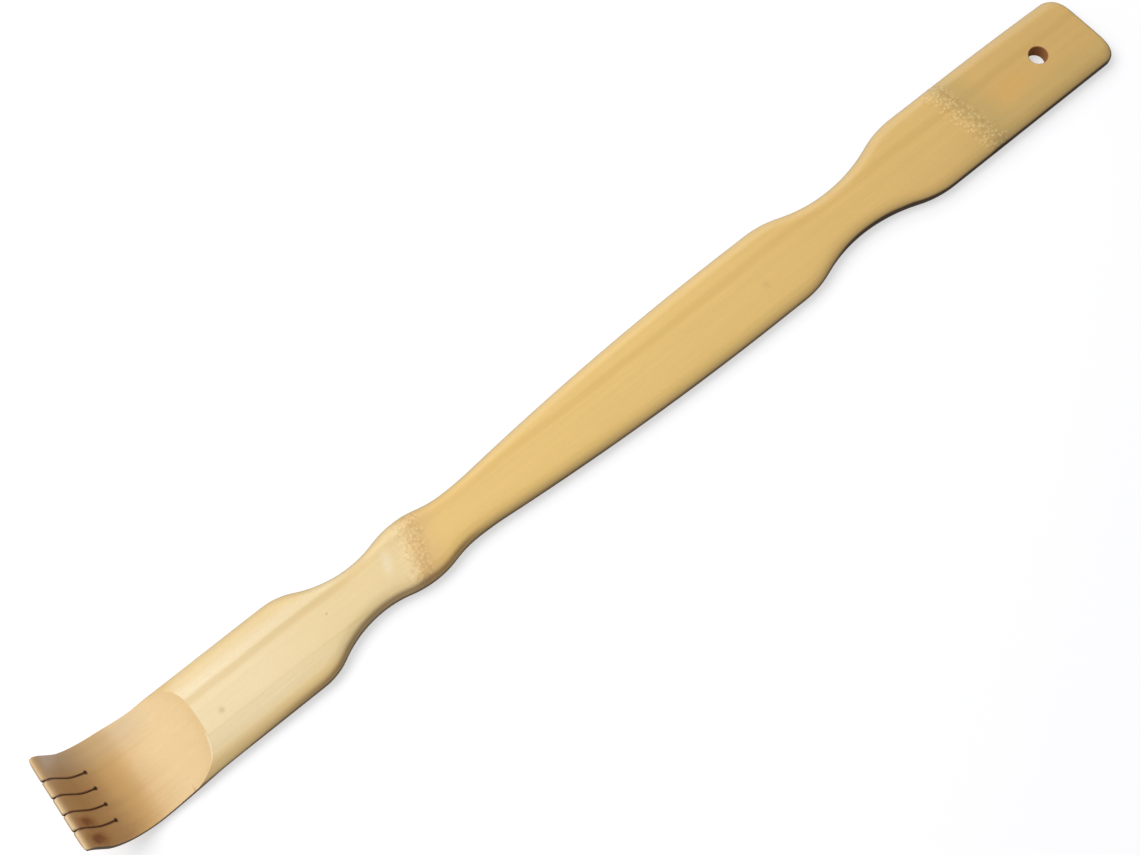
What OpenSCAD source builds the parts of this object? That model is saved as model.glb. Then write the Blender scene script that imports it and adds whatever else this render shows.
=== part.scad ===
// Bamboo back scratcher: one flat slat split from a culm wall, shaped with three waists,
// thinned at one end, slit into fingers there and bent up into a claw.
// The pieces follow the cane. Each plain length between two culm rings, each ring, the bent
// claw and each finger is a solid of its own, and neighbours meet on a whole cross-section.
// Frame: the slat lies along X, the claw at -X and the hanging tab at +X. The planed
// underside is on Z = 0, and the origin is under the middle of the length.

/* [Slat] */
// Length of the whole scratcher, from the finger tips to the tab's end
total_len = 450; // [390:1:560]
// Thickness of the slat
slat_t = 6.2; // [4.5:0.1:9]
// How far the rounding of the upper edges reaches in from the side
upper_round_w = 5.2; // [2:0.1:8]
// Height of the rounding of the upper edges
upper_round_h = 2.6; // [0.5:0.1:3.5]
// How far the rounding of the under edges reaches in from the side
under_round_w = 4; // [1:0.1:8]
// Height of the rounding of the under edges
under_round_h = 2.4; // [0.5:0.1:3.5]

/* [Claw] */
// Thickness where the bend starts
claw_t = 2.5; // [1.8:0.1:4]
// Thickness at the finger tips
tip_t = 2.4; // [1.2:0.1:3.5]
// Length of the scoop that thins the slat down to the claw
scoop_len = 22.5; // [14:0.5:40]
// Outside radius of the bend
bend_r = 21.5; // [12:0.5:35]
// Angle of the bend
bend_angle = 76; // [40:1:90]
// Slant of the bend, and of the line of tips, across the slat
bend_skew = 4; // [0:0.5:8]
// Straight run from the bend to the tips
tip_run = 14.5; // [4:0.5:24]
// How far the claw's +Y side swells out at the bend
left_swell = 1.2; // [0:0.1:2.5]
// Length over which that swell dies out towards the palm
left_swell_run = 16; // [8:0.5:40]
// How far the claw's -Y side swells out at the bend
right_swell = 0.7; // [0:0.1:2.5]
// Length over which that swell dies out towards the palm
right_swell_run = 36; // [8:0.5:40]
// Length of the fingers, along their outside
finger_len = 25.5; // [14:0.5:36]
// Spacing of the slits
slit_pitch = 6.1; // [4:0.1:8]
// How far the row of slits sits off the middle, towards the -Y side
slit_shift = 0.8; // [0:0.1:1.5]
// Width of a slit
slit_w = 0.8; // [0.4:0.1:1.6]
// Rounding of each finger tip, seen from above
tip_corner_r = 1.1; // [0.3:0.1:1.5]
// Rounding of the edges along the slits
slit_round = 0.3; // [0.1:0.05:0.5]

/* [Palm] */
// Width of the palm and the claw
head_w = 34; // [30:0.5:50]
// Length of the palm, from the scoop to its shoulder
palm_len = 38.5; // [10:0.5:80]
// Radius of the palm's shoulder
palm_shoulder_r = 22.5; // [8:0.5:40]
// Length of the curve from the palm down to the neck
palm_neck_run = 30; // [20:0.5:60]

/* [Neck and lower ring] */
// Width of the neck
neck_w = 18.8; // [14:0.1:23]
// Radius of the neck's hollow on the ring's side
neck_r = 37.5; // [15:0.5:60]
// Length of the curve from the neck up to the lower ring
neck_ring_run = 20; // [14:0.5:40]
// Width at the lower ring
lower_ring_w = 24.4; // [24:0.1:34]
// Radius of the bulge at the lower ring, on the grip's side
lower_ring_r = 34; // [15:0.5:60]
// Length of the curve from the lower ring to the thin end of the grip
ring_grip_run = 19.5; // [14:0.5:40]

/* [Grip] */
// Width at the thin end of the grip
grip_thin_w = 19.2; // [14:0.1:23]
// Radius of the hollow at the thin end of the grip
grip_thin_r = 122; // [40:1:250]
// Width of the grip
grip_w = 31.7; // [26:0.1:40]
// Length of the widest part of the grip
grip_flat_len = 13; // [2:0.5:60]
// Radius of the grip's shoulder
grip_shoulder_r = 38.5; // [15:0.5:60]
// Length of the curve from the grip down to the waist
grip_waist_run = 33; // [20:0.5:60]
// Width of the waist between the grip and the tab
waist_w = 19.9; // [14:0.1:25]
// Radius of the waist's hollow on the tab's side
waist_r = 64; // [20:0.5:90]
// Length of the curve from the waist up to the tab
waist_tab_run = 38; // [22:0.5:60]

/* [Tab and upper ring] */
// Width of the hanging tab
tab_w = 34; // [26:0.5:50]
// Length of the tab, from its shoulder to its end
tab_len = 82; // [75:0.5:120]
// Radius of the tab's corners
tab_corner_r = 6; // [3:0.5:10]
// Slant of the tab's end, which falls back towards its +Y corner
tab_skew = 2; // [0:0.5:4]
// How far the tab's +Y side draws in at its end
tab_taper = 0.9; // [0:0.1:2]
// Rounding of the tab's end, seen from the side
tab_end_round = 1.8; // [0.5:0.1:2]
// Distance from the tab's end to the middle of the upper ring
upper_ring_back = 61.5; // [48:0.5:65]
// Diameter of the hanging hole
hole_d = 7; // [4:0.1:12]
// Distance from the tab's end to the middle of the hole
hole_back = 23.5; // [14:0.5:32]
// How far the hole sits off the middle, towards the +Y side
hole_side = 0.8; // [0:0.1:3]
// Size of the bevel round both rims of the hole
hole_bevel = 0.5; // [0.1:0.1:1]

/* [Culm rings] */
// Length of each culm ring along the slat
ring_len = 12; // [6:0.5:16]
// How far each culm ring stands proud of the upper face
ring_rise = 0.4; // [0.1:0.1:1]

/* [Hidden] */
FINGERS = 5;

// Spacing of the cross-sections on straight stretches, on curves and on small details
LONG_STEP = 8;
CURVE_STEP = 4;
FINE_STEP = 2;
// Facets in each rounded edge of the slat and of a finger
EDGE_FACETS = 5;
FINGER_FACETS = 3;
// Turn between the cross-sections of the tab's rounded end and of a rounded finger tip
END_TURN = 18;
TIP_TURN = 30;
// Facets round the hanging hole
HOLE_FACETS = 64;
// Most of its wall's height that one rounded edge takes
WALL_SHARE = 0.45;
// Most of an S-curve that its first arc takes
ARC_SHARE = 0.9;
// Depth by which a cut passes a face
CUT_OVER = 1;

// Distances along the slat, from 0 at the start of the bend, negative towards the tips
bend_len = bend_r * bend_angle * PI / 180;
tip_at = -(bend_len + tip_run);
root_at = tip_at + finger_len;

// Reach of the claw in front of the bend, with what its slant adds at the -Y corner, and the
// shift that centres the length on the origin
square_reach = bend_r * sin(bend_angle) + tip_run * cos(bend_angle);
corner_y = head_w / 2 - tip_corner_r - under_round_w;
claw_reach = square_reach * cos(bend_skew) + (corner_y - tip_at * sin(bend_skew)) * tan(bend_skew);
centre_x = claw_reach - total_len / 2;

// What the slant of the tab's end adds at its -Y corner
tab_reach = (tab_w / 2 - tab_corner_r) * tan(tab_skew);

// Distances from the bend up to the grip, and back from the tab's end. The grip's taper fills the rest.
shoulder_at = scoop_len + palm_len;
lower_ring_at = shoulder_at + palm_neck_run + neck_ring_run;
grip_thin_at = lower_ring_at + ring_grip_run;
end_at = total_len - claw_reach - tab_reach;
hole_at = end_at - hole_back;
upper_ring_at = end_at - upper_ring_back;
tab_from = upper_ring_at + ring_len / 2;
tab_at = end_at - tab_len;
grip_wide_at = tab_at - waist_tab_run - grip_waist_run - grip_flat_len;
grip_run = grip_wide_at - grip_thin_at;

// Side outline, as runs of [length, width at its end, radius of its first arc]
OUTLINE = [
    [shoulder_at, head_w, 0],
    [palm_neck_run, neck_w, palm_shoulder_r],
    [neck_ring_run, lower_ring_w, neck_r],
    [ring_grip_run, grip_thin_w, lower_ring_r],
    [grip_run, grip_w, grip_thin_r],
    [grip_flat_len, grip_w, 0],
    [grip_waist_run, waist_w, grip_shoulder_r],
    [waist_tab_run, tab_w, waist_r]
];

// Rise, at u along its run, of an S-curve of two tangent arcs that is level at both ends
function s_curve(u, run, rise, first_r) =
    let (sum_r = (run * run + rise * rise) / (2 * rise))
    let (r1 = min(first_r, ARC_SHARE * sum_r))
    let (r2 = sum_r - r1)
    u < run * r1 / sum_r
        ? r1 - sqrt(r1 * r1 - u * u)
        : rise - r2 + sqrt(r2 * r2 - (run - u) * (run - u));

// Width on one run of the outline, which changes from w0 to w1
function run_width(u, run, w0, w1, first_r) =
    w0 == w1 ? w0 : w0 + sign(w1 - w0) * 2 * s_curve(u, run, abs(w1 - w0) / 2, first_r);

// Width of the slat at s, found run by run
function width_at(s, i = 0, start = 0, w0 = head_w) =
    i == len(OUTLINE) ? w0
    : s <= start + OUTLINE[i][0]
        ? run_width(max(s - start, 0), OUTLINE[i][0], w0, OUTLINE[i][1], OUTLINE[i][2])
        : width_at(s, i + 1, start + OUTLINE[i][0], OUTLINE[i][1]);

// How far a quarter-round of radius r draws back, at d past its start
function draw_back(d, r) = d <= 0 ? 0 : r - sqrt(max(r * r - d * d, 0));

// Height at s of a culm ring's crest, above the upper face
function ring_swell(s, middle) =
    abs(s - middle) >= ring_len / 2 ? 0 : ring_rise * (1 + cos(360 * (s - middle) / ring_len)) / 2;

// Upper face of the slat at s, before the scoop is cut
function upper_at(s) =
    slat_t + ring_swell(s, lower_ring_at) + ring_swell(s, upper_ring_at)
    - draw_back(s - end_at + tab_end_round, tab_end_round);

// Underside of the slat at s, flat except at the rounded end of the tab
function under_at(s) = draw_back(s - end_at + tab_end_round, tab_end_round);

// Floor of the scoop: an arc that is level where the bend starts, then a taper to the tips
function scoop_floor(s) =
    let (rise = slat_t - claw_t)
    let (r = (scoop_len * scoop_len + rise * rise) / (2 * rise))
    s >= scoop_len ? slat_t + ring_rise
    : s >= 0 ? claw_t + r - sqrt(r * r - s * s)
    : claw_t + (tip_t - claw_t) * s / tip_at;

// Slope of the slat at s, in degrees, and the place of its outside face there as [x, z]
function slope_at(s) = s >= 0 ? 0 : min(-s / bend_len, 1) * bend_angle;
function path_at(s) =
    let (a = slope_at(s))
    let (past = max(-s - bend_len, 0))
    [max(s, 0) - bend_r * sin(a) - past * cos(a), bend_r * (1 - cos(a)) + past * sin(a)];

// Slant of the cross-section at s: the bend's own slant up to the scoop's end, none from the shoulder
// to the upper ring, then the other way to the tab's end
function slant_at(s) =
    bend_skew * min(max((shoulder_at - s) / palm_len, 0), 1)
    - tab_skew * min(max((s - tab_from) / (end_at - tab_corner_r - tab_from), 0), 1);

// How far the tab's +Y side has drawn in at s
function taper_at(s) = tab_taper * pow(max((s - tab_from) / (end_at - tab_from), 0), 2);

// How far one side stands out at s, most just past the start of the bend
function swell_at(s, most, run) =
    let (crest = -bend_len / 4)
    let (share = s > crest ? (s - crest) / run : (crest - s) / (crest - tip_at))
    most * (1 + cos(180 * min(share, 1))) / 2;
function left_at(s) = swell_at(s, left_swell, left_swell_run) - taper_at(s);
function right_at(s) = swell_at(s, right_swell, right_swell_run);

// A cross-section point [across, up] at s, in the part's frame. The bend rolls the slat about an
// axis that is turned by its slant, so the bent part also drifts sideways.
function place(s, p) =
    let (a = slope_at(s))
    let (at = path_at(s))
    let (reach = at[0] + p[1] * sin(a))
    s >= 0 ? [centre_x + s + p[0] * tan(slant_at(s)), p[0], p[1]]
    : [centre_x + reach * cos(bend_skew) + (p[0] + s * sin(bend_skew)) * tan(bend_skew),
        p[0] + (s - reach) * sin(bend_skew),
        at[1] + p[1] * cos(a)];

// A quarter ellipse about a centre, over the 90 degrees that begin at from
function quarter(centre, w, h, from, facets) =
    [for (i = [0 : facets]) let (a = from + 90 * i / facets) centre + [w * cos(a), h * sin(a)]];

// A box section with four rounded edges, each [width, height], anticlockwise from below right
function box_section(y0, y1, z0, z1, under_right, upper_right, upper_left, under_left, facets) =
    concat(
        quarter([y1 - under_right[0], z0 + under_right[1]], under_right[0], under_right[1], -90, facets),
        quarter([y1 - upper_right[0], z1 - upper_right[1]], upper_right[0], upper_right[1], 0, facets),
        quarter([y0 + upper_left[0], z1 - upper_left[1]], upper_left[0], upper_left[1], 90, facets),
        quarter([y0 + under_left[0], z0 + under_left[1]], under_left[0], under_left[1], 180, facets)
    );

// The slat's whole cross-section at s, with the scoop's floor cutting its top
function slat_ring(s) =
    let (half = width_at(s) / 2 - draw_back(s - end_at + tab_corner_r, tab_corner_r))
    let (z0 = under_at(s))
    let (z1 = upper_at(s))
    let (floor_z = scoop_floor(s))
    let (upper = [upper_round_w, min(upper_round_h, WALL_SHARE * (z1 - z0))])
    let (under = [under_round_w, min(under_round_h, WALL_SHARE * (min(z1, floor_z) - z0))])
    [for (p = box_section(-half - right_at(s), half + left_at(s), z0, z1, under, upper, upper, under,
            EDGE_FACETS))
        place(s, [p[0], min(p[1], floor_z)])];

// Cross-section at s of one finger, from y0 to y1, with the slat's under edge on an outer side
function finger_ring(s, y0, y1) =
    let (inset = draw_back(tip_at + tip_corner_r - s, tip_corner_r))
    let (z1 = scoop_floor(s))
    let (outer = [under_round_w, min(under_round_h, WALL_SHARE * z1)])
    let (slit = [slit_round, slit_round])
    let (under_right = y1 < head_w / 2 ? slit : outer)
    let (under_left = y0 > -head_w / 2 ? slit : outer)
    let (low_y = y0 > -head_w / 2 ? y0 : y0 - right_at(s))
    let (high_y = y1 < head_w / 2 ? y1 : y1 + left_at(s))
    [for (p = box_section(low_y + inset, high_y - inset, 0, z1, under_right, slit, slit, under_left,
            FINGER_FACETS)) place(s, p)];

// Evenly spaced stations from a to b, no more than step apart
function stations(a, b, step) =
    let (count = ceil((b - a) / step))
    [for (i = [0 : count]) a + (b - a) * i / count];

// Stations that end on a quarter-round of radius r, closer together towards the end at b
function rounded_stations(a, b, r, step) =
    concat(stations(a, b - r, step), [for (turn = [END_TURN : END_TURN : 90]) b - r + r * sin(turn)]);

// Skins a row of equal rings with triangles and closes both ends
module loft(rings) {
    n = len(rings[0]);
    last = (len(rings) - 1) * n;
    sides = [
        for (i = [0 : len(rings) - 2], j = [0 : n - 1])
            let (a = i * n + j, b = i * n + (j + 1) % n)
            each [[a, a + n, b + n], [a, b + n, b]]
    ];
    ends = [[for (j = [0 : n - 1]) j], [for (j = [n - 1 : -1 : 0]) last + j]];
    polyhedron(points = [for (ring = rings) each ring], faces = concat(sides, ends));
}

// A length of the whole slat between two stations
module slat(from, to, step) {
    loft([for (s = stations(from, to, step)) slat_ring(s)]);
}

// One finger, counted from the -Y side
module finger(i) {
    first_slit = -slit_pitch * (FINGERS - 2) / 2 - slit_shift;
    y0 = i == 1 ? -head_w / 2 : first_slit + slit_pitch * (i - 2) + slit_w / 2;
    y1 = i == FINGERS ? head_w / 2 : first_slit + slit_pitch * (i - 1) - slit_w / 2;
    tip_stations = [for (a = [90 : -TIP_TURN : TIP_TURN]) tip_at + tip_corner_r * (1 - sin(a))];
    body_stations = stations(tip_at + tip_corner_r, root_at, FINE_STEP);
    color("#b58a5c")
        loft([for (s = concat(tip_stations, body_stations)) finger_ring(s, y0, y1)]);
}

// The scooped and bent end that carries the fingers
module claw() {
    color("#d9b077") slat(root_at, scoop_len, FINE_STEP);
}

// The pale flat head behind the claw, down through the neck to the lower ring
module palm() {
    color("#ecd9a6") slat(scoop_len, lower_ring_at - ring_len / 2, CURVE_STEP);
}

// The culm ring on the bulge between the neck and the grip
module lower_culm_ring() {
    color("#d9b87c") slat(lower_ring_at - ring_len / 2, lower_ring_at + ring_len / 2, FINE_STEP);
}

// The long grip, from the lower ring past the waist to the upper ring, in two joined runs
module grip() {
    color("#e4c078") union() {
        slat(lower_ring_at + ring_len / 2, grip_wide_at, CURVE_STEP);
        slat(grip_wide_at, upper_ring_at - ring_len / 2, CURVE_STEP);
    }
}

// The culm ring across the tab
module upper_culm_ring() {
    color("#c9a76a") slat(upper_ring_at - ring_len / 2, upper_ring_at + ring_len / 2, FINE_STEP);
}

// The drilled hole with both rims bevelled, as one cutter
module hanging_hole() {
    rim_r = hole_d / 2 + hole_bevel + CUT_OVER;
    bevel_h = hole_bevel + CUT_OVER;
    translate([centre_x + hole_at, hole_side, 0]) {
        translate([0, 0, -CUT_OVER]) cylinder(h = slat_t + 2 * CUT_OVER, d = hole_d, $fn = HOLE_FACETS);
        translate([0, 0, -CUT_OVER]) cylinder(h = bevel_h, r1 = rim_r, r2 = hole_d / 2, $fn = HOLE_FACETS);
        translate([0, 0, slat_t - hole_bevel])
            cylinder(h = bevel_h, r1 = hole_d / 2, r2 = rim_r, $fn = HOLE_FACETS);
    }
}

// The end of the slat with its hanging hole
module hanging_tab() {
    color("#d0ac6c") difference() {
        loft([for (s = rounded_stations(tab_from, end_at, tab_corner_r, LONG_STEP)) slat_ring(s)]);
        hanging_hole();
    }
}

for (i = [1 : FINGERS]) finger(i);
claw();
palm();
lower_culm_ring();
grip();
upper_culm_ring();
hanging_tab();
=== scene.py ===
import math
from collections import namedtuple

import bmesh
import bpy
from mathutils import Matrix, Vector


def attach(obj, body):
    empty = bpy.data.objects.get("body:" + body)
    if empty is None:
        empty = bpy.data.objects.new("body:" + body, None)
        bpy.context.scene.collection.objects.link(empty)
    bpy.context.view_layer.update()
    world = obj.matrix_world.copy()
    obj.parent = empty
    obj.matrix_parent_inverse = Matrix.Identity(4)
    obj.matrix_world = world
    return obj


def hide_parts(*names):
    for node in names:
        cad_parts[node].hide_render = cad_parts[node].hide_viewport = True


bl_info = {
    "name": "Bamboo Back Scratcher",
    "version": (1, 0, 0),
    "blender": (4, 5, 0),
    "location": "View3D > Sidebar > Scratcher",
    "description": "Shapes and finishes a one-piece bamboo back scratcher",
    "category": "Object",
}

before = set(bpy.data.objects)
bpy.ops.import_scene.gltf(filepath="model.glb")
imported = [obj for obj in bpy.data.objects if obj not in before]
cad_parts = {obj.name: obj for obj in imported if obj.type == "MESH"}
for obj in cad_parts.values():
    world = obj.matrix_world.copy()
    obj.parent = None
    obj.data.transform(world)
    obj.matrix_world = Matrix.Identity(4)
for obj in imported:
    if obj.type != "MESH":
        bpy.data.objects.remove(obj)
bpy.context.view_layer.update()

MM = 0.001


# Properties

def amount(name, value, description, **settings):
    """An amount that a user may change"""
    return bpy.props.FloatProperty(name=name, description=description, default=value, **settings)


def length(name, millimetres, description):
    """A length, written in millimetres"""
    return amount(name, millimetres * MM, description, min=0, precision=4, unit="LENGTH")


def turn(name, degrees, description):
    """An angle, written in degrees"""
    return amount(name, math.radians(degrees), description, subtype="ANGLE", unit="ROTATION")


def share(name, value, description):
    """A share from 0 to 1"""
    return amount(name, value, description, subtype="FACTOR", min=0, max=1)


def watts(name, value, description):
    """The power of a lamp"""
    return amount(name, value, description, unit="POWER")


def tint(name, red, green, blue, description):
    """A colour, written in steps from 0 to 255"""
    return bpy.props.FloatVectorProperty(name=name, description=description, subtype="COLOR_GAMMA", size=3,
                                         default=(red / 255, green / 255, blue / 255), min=0, max=1)


def spot(name, x, y, z, description):
    """A place, written in millimetres"""
    return bpy.props.FloatVectorProperty(name=name, description=description, subtype="TRANSLATION",
                                         unit="LENGTH", size=3, default=(x * MM, y * MM, z * MM))


class ScratcherSizes(bpy.types.PropertyGroup):
    """Sizes of the slat, its claw, its waists and its tab"""
    total: length("Length", 450, "Whole length, from the finger tips to the tab's end")
    thickness: length("Thickness", 6.2, "Thickness of the slat")
    camber: length("Camber", 0.8, "How far the upper face of the head falls away near its sides")
    camber_at: length("Camber place", 13, "Distance from the middle at which the camber is measured")
    camber_run: length("Camber run", 40, "Length over which the camber dies down to a half, past the scoop")
    upper_round_w: length("Upper rounding reach", 5.2, "How far the rounding of the upper edges reaches in")
    upper_round_h: length("Upper rounding height", 2.6, "Height of the rounding of the upper edges")
    under_round_w: length("Under rounding reach", 4, "How far the rounding of the under edges reaches in")
    under_round_h: length("Under rounding height", 2.4, "Height of the rounding of the under edges")

    claw_thickness: length("Claw thickness", 2.5, "Thickness where the bend starts")
    tip_thickness: length("Tip thickness", 2.4, "Thickness at the finger tips")
    scoop: length("Scoop length", 23.7, "Length of the scoop that thins the slat down to the claw")
    bend_radius: length("Bend radius", 21.5, "Outside radius of the bend")
    bend_angle: turn("Bend angle", 76, "Angle of the bend")
    bend_slant: turn("Bend slant", 4, "Slant of the bend, and of the line of tips, across the slat")
    tip_run: length("Tip run", 14.5, "Straight run from the bend to the tips")
    left_swell: length("Left swell", 1.2, "How far the claw's left side swells out at the bend")
    left_swell_run: length("Left swell run", 16, "Length over which the left swell dies out")
    right_swell: length("Right swell", 0.7, "How far the claw's right side swells out at the bend")
    right_swell_run: length("Right swell run", 36, "Length over which the right swell dies out")
    finger: length("Finger length", 25.5, "Length of the fingers, along their outside")
    slit_pitch: length("Slit spacing", 6.1, "Spacing of the slits")
    slit_shift: length("Slit shift", 0.8, "How far the slits sit off the middle, towards the right side")
    slit: length("Slit width", 0.2, "Width of a saw cut at its root")
    slit_tip: length("Slit width at the tip", 0.12, "Width of a saw cut between two finger tips")
    slit_wander: length("Slit wander", 0.12, "How far the hand-sawn cuts wander")
    slit_root: length("Slit root", 0.55, "Radius of the small hole at the root of a slit")
    slit_round: length("Slit edge rounding", 0.2, "Rounding of the edges along the slits")
    tip_corner: length("Tip corner", 1.0, "Rounding of each finger tip, seen from its face")
    tip_nose: length("Tip nose", 1.7, "Depth of the cut ends' rounding, on the inside of the claw")
    tip_nose_run: length("Tip nose run", 5.0, "Length of the cut ends' rounding, on the inside of the claw")
    tip_ease: length("Tip easing", 0.3, "Rounding of the cut ends, on the outside of the claw")

    head: length("Head width", 34, "Width of the palm and the claw")
    palm: length("Palm length", 37.3, "Length of the palm, from the scoop to its shoulder")
    palm_shoulder: length("Palm shoulder radius", 22.5, "Radius of the palm's shoulder")
    palm_neck: length("Palm to neck", 30, "Length of the curve from the palm down to the neck")
    neck: length("Neck width", 18.8, "Width of the neck")
    neck_radius: length("Neck radius", 37.5, "Radius of the neck's hollow on the ring's side")
    neck_ring: length("Neck to ring", 20, "Length of the curve from the neck up to the lower ring")
    lower_ring: length("Lower ring width", 24.4, "Width at the lower ring")
    lower_ring_radius: length("Lower ring radius", 34, "Radius of the bulge at the lower ring")
    ring_grip: length("Ring to grip", 19.5, "Length of the curve from the lower ring to the thin grip")
    grip_thin: length("Thin grip width", 19.2, "Width at the thin end of the grip")
    grip_thin_radius: length("Thin grip radius", 122, "Radius of the hollow at the thin end of the grip")
    grip: length("Grip width", 31.7, "Width of the grip")
    grip_flat: length("Wide grip length", 13, "Length of the widest part of the grip")
    grip_shoulder: length("Grip shoulder radius", 38.5, "Radius of the grip's shoulder")
    grip_waist: length("Grip to waist", 33, "Length of the curve from the grip down to the waist")
    waist: length("Waist width", 19.9, "Width of the waist between the grip and the tab")
    waist_radius: length("Waist radius", 64, "Radius of the waist's hollow on the tab's side")
    waist_tab: length("Waist to tab", 38, "Length of the curve from the waist up to the tab")

    tab: length("Tab width", 34, "Width of the hanging tab")
    tab_length: length("Tab length", 82, "Length of the tab, from its shoulder to its end")
    tab_corner: length("Tab corner", 6, "Radius of the tab's corners")
    tab_slant: turn("Tab slant", 2, "Slant of the tab's end, which falls back towards its left corner")
    tab_taper: length("Tab taper", 0.9, "How far the tab's left side draws in at its end")
    tab_end_round: length("Tab end rounding", 1.8, "Rounding of the tab's end, seen from the side")
    upper_ring_back: length("Upper ring place", 61.5, "Distance of the ring's middle from the tab's end")
    hole: length("Hole diameter", 7, "Diameter of the hanging hole")
    hole_back: length("Hole place", 23.5, "Distance of the hole's middle from the tab's end")
    hole_side: length("Hole shift", 0.8, "How far the hole sits off the middle, towards the left side")
    hole_ease: length("Hole easing", 0.5, "Rounding of both rims of the hole")

    ring_length: length("Ring length", 12, "Length of each culm ring along the slat")
    ring_rise: length("Ring rise", 0.4, "How far each culm ring stands proud of the upper face")
    lower_slant: amount("Lower ring slant", 0.377, "Steps that the ring runs along for each step across")
    upper_slant: amount("Upper ring slant", -0.128, "Steps that the ring runs along for each step across")


class ScratcherColours(bpy.types.PropertyGroup):
    """Colours of the bamboo, of its marks and of the shade and sheen painted on it, as they look in plain
    light
    """
    cream: tint("Cream", 239, 216, 169, "Palm")
    straw: tint("Straw", 237, 211, 156, "Neck")
    gold: tint("Gold", 236, 198, 122, "Grip")
    amber: tint("Amber", 230, 191, 118, "Far end of the grip")
    tan: tint("Tan", 222, 183, 112, "Hanging tab")
    olive: tint("Olive", 198, 171, 109, "Greyish clouds on the tab")
    warm: tint("Warm", 229, 180, 103, "Warm patch on the tab")
    streak: tint("Streak", 242, 236, 222, "Stain of the long darker streak down the face")
    # A paler flank beside the streak, partly painted sheen; this tone also paints the highlight patch by the
    # lower ring and the sheen on the left rounding
    sheen: tint("Pale flank", 243, 226, 190, "Paler flank beside the streak")
    # The cut sides' own browner tone, also used as painted shade on the steep roundings and on the outer rims
    # of the finger tips
    edge: tint("Edge", 162, 136, 98, "Cut side faces")
    # Painted shade along the foot of the side faces, also used for painted dark outlines along the left side
    # and the tab's end
    foot: tint("Foot", 58, 42, 28, "Browned foot of the side faces")
    honey: tint("Honey", 230, 197, 138, "Floor of the scoop")
    # Heat browning of the bend; this tone also paints a band of shade inside the scoop's edge
    toast_and_shade: tint("Toast", 213, 169, 108, "Bend, browned by heat")
    brown: tint("Brown", 186, 140, 90, "Inner faces of the fingers")
    # Painted sheen on the left side of the bend
    bend_sheen: tint("Bloom", 205, 186, 152, "Greyer left side of the bend")
    scorch: tint("Scorch", 152, 86, 42, "Reddish scorch marks")
    # Scorch marks and saw cuts; this tone also paints shade under the head's right edge
    burn_and_shade: tint("Burn", 108, 50, 20, "Hearts of the scorch marks, and saw cuts")
    # Painted shade in the small holes at the roots of the saw cuts
    root_hole_shade: tint("Soot", 64, 30, 16, "Small holes at the roots of the saw cuts")
    # Paler end grain of the finger tips, partly a painted highlight on their rounded ends
    cut_end_and_highlight: tint("Cut end", 238, 208, 162, "Rounded ends of the fingers")
    # Painted highlight along the right part of the scoop's edge
    scoop_edge_highlight: tint("Worn edge", 246, 230, 192, "Worn edge of the scoop")
    ring: tint("Ring", 224, 180, 116, "Ground of the culm rings")
    # Dark pits of the culm rings, partly painted shade between their small bumps
    pit_and_shade: tint("Pit", 164, 116, 60, "Dark pits of the culm rings")
    dot: tint("Dot", 242, 214, 158, "Pale cut fibre ends in the culm rings")
    speck: tint("Speck", 196, 158, 100, "Small brown specks")
    bore: tint("Bore", 170, 116, 64, "Wall of the hanging hole")


class ScratcherStage(bpy.types.PropertyGroup):
    """Camera, lamps and floor"""
    camera_at: spot("Camera place", -173.91, -180.2, 609.0, "Where the camera stands")
    camera_to: spot("Camera aim", -20.63, 1.38, 0, "What the camera looks at")
    lens: amount("Lens", 60.95, "Focal length on a 36 mm wide film", subtype="DISTANCE_CAMERA")
    key_at: spot("Key lamp place", -450, 480, 1050, "Where the large soft lamp hangs")
    key_size: length("Key lamp size", 900, "Side of the large soft lamp")
    key_power: watts("Key lamp power", 11.3, "Power of the large soft lamp")
    strip_at: spot("Strip lamp place", 200, 900, 660, "Where the long lamp beside the left edge hangs")
    strip_length: length("Strip lamp length", 1400, "Length of the long lamp")
    strip_width: length("Strip lamp width", 350, "Width of the long lamp")
    strip_power: watts("Strip lamp power", 3.0, "Power of the long lamp")
    sky: share("Sky", 0.28, "Brightness of the even light from all round")
    floor: tint("Floor", 188, 188, 191, "Floor")
    lift: share("Floor lift", 0.58, "What the floor adds for the camera, so that it looks white")


# Plan of the slat

# A section's corners each hold the reach and the height of their rounding
Section = namedtuple("Section", "x right left low high under_left upper_left upper_right under_right")
Corner = namedtuple("Corner", "side level y z reach height")

# Steps along the slat, and angles in degrees, from one section to the next
PALM_STEP = 1.6 * MM
RING_STEP = 0.8 * MM
SLAT_STEP = 2 * MM
CLAW_STEP = 0.9 * MM
FINGER_STEP = 0.8 * MM
END_TURN = 6
HOLE_TURN = 15

# Points round a corner, and cuts across a flat
ROUND_CUTS = 9
FLAT_CUTS = 7
FINGER_ROUND_CUTS = 5
FINGER_FLAT_CUTS = 3
SCOOP_CUTS = 9
HOLE_CUTS = 96
ROOT_HOLE_CUTS = 24

# How much of a curve the first of its two arcs may take, and how much of a wall one rounding
ARC_SHARE = 0.9
ROUND_SHARE = 0.45

# The solids' own tip corner, which sets the claw's reach, and the scoop's distance from the palm
SOLID_TIP_CORNER = 1.1 * MM
SCOOP_CLEAR = 0.15 * MM

# The wander of the saw cuts: its run, and how far each cut is out of step with the last
WANDER_RUN = 4.2 * MM
WANDER_TURN = 1.9

# How far cutters stand out past what they cut
OVERHANG = 3 * MM
ROOT_HOLE_DEPTH = 20 * MM

# What counts as the same place or the same size
HAIR = 0.01 * MM
SAME_SIZE = 1e-6
SAME_PLACE = 1e-8

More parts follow.
